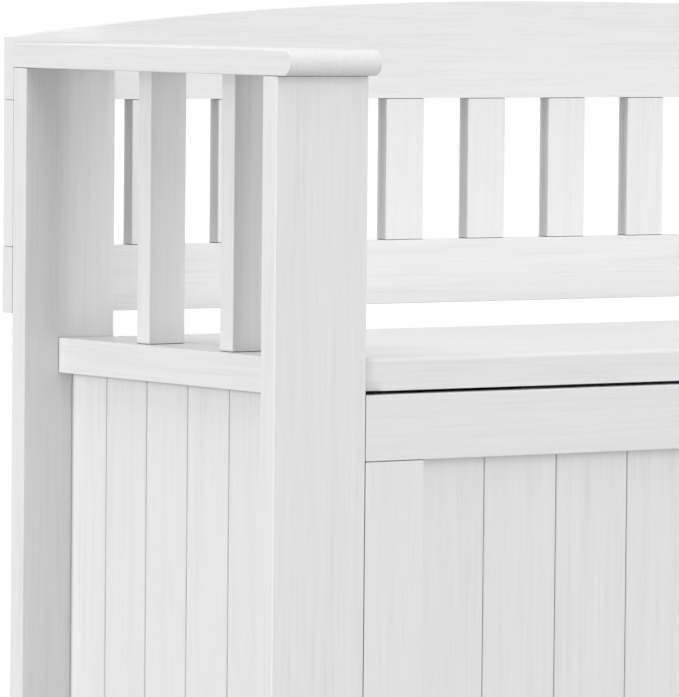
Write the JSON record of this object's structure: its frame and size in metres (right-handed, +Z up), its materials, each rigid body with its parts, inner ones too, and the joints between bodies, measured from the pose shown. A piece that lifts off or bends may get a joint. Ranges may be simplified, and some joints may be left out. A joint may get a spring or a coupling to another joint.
{
  "type": "entryway storage bench",
  "caption": "Storage bench with a lift-up hinged seat over a planked box, flat armrests on posts and slats, and an arched slatted back.",
  "frame": {"origin": "On the floor, under the middle of the footprint: midway between the two ends, and midway between the arms' rounded fronts and the back's rear face.", "axes": "+X to the bench's right end as seen from the front, +Y to the back, +Z up"},
  "size_m": [1.18, 0.43, 0.7489],
  "materials": {
    "paint": "white satin paint over wood, faint grain",
    "raw_wood": "bare planed pine",
    "steel": "zinc-plated",
    "rubber": "matte, dark grey",
    "plastic": "matte grey"
  },
  "bodies": {
    "frame": {"front_post_left": "paint", "front_post_right": "paint", "rear_post_left": "paint", "rear_post_right": "paint", "armrest_left": "paint", "armrest_right": "paint", "arm_slats_left": "paint", "arm_slats_right": "paint", "side_board_left": "paint", "side_board_right": "paint", "side_planks_left": "paint", "side_planks_right": "paint", "side_top_rail_left": "raw_wood", "side_top_rail_right": "raw_wood", "side_bottom_rail_left": "raw_wood", "side_bottom_rail_right": "raw_wood", "front_top_rail": "paint", "front_bottom_rail": "paint", "front_stile_left": "paint", "front_stile_right": "paint", "front_planks": "paint", "rear_top_rail": "paint", "rear_bottom_rail": "paint", "rear_stile_left": "paint", "rear_stile_right": "paint", "rear_planks": "paint", "bottom_panel": "paint", "bottom_cleats": "raw_wood", "back_top_rail": "paint", "back_lower_rail": "paint", "back_stile_left": "paint", "back_stile_right": "paint", "back_slats": "paint", "lid_bumpers": "rubber", "hinge_frame_leaves": "steel", "hinge_pins": "steel", "back_bolts": "steel", "arm_dowels": "raw_wood", "foot_glides": "plastic"},
    "lid": {"lid_panel": "paint", "lid_battens": "paint", "hinge_lid_leaves": "steel"}
  },
  "joints": [
    {"name": "lid_hinge", "type": "hinge", "parent": "frame", "child": "lid", "pos_m": [0, 0.1805, 0.4331], "axis": [-1, 0, 0], "range_deg": [0, 80]}
  ]
}
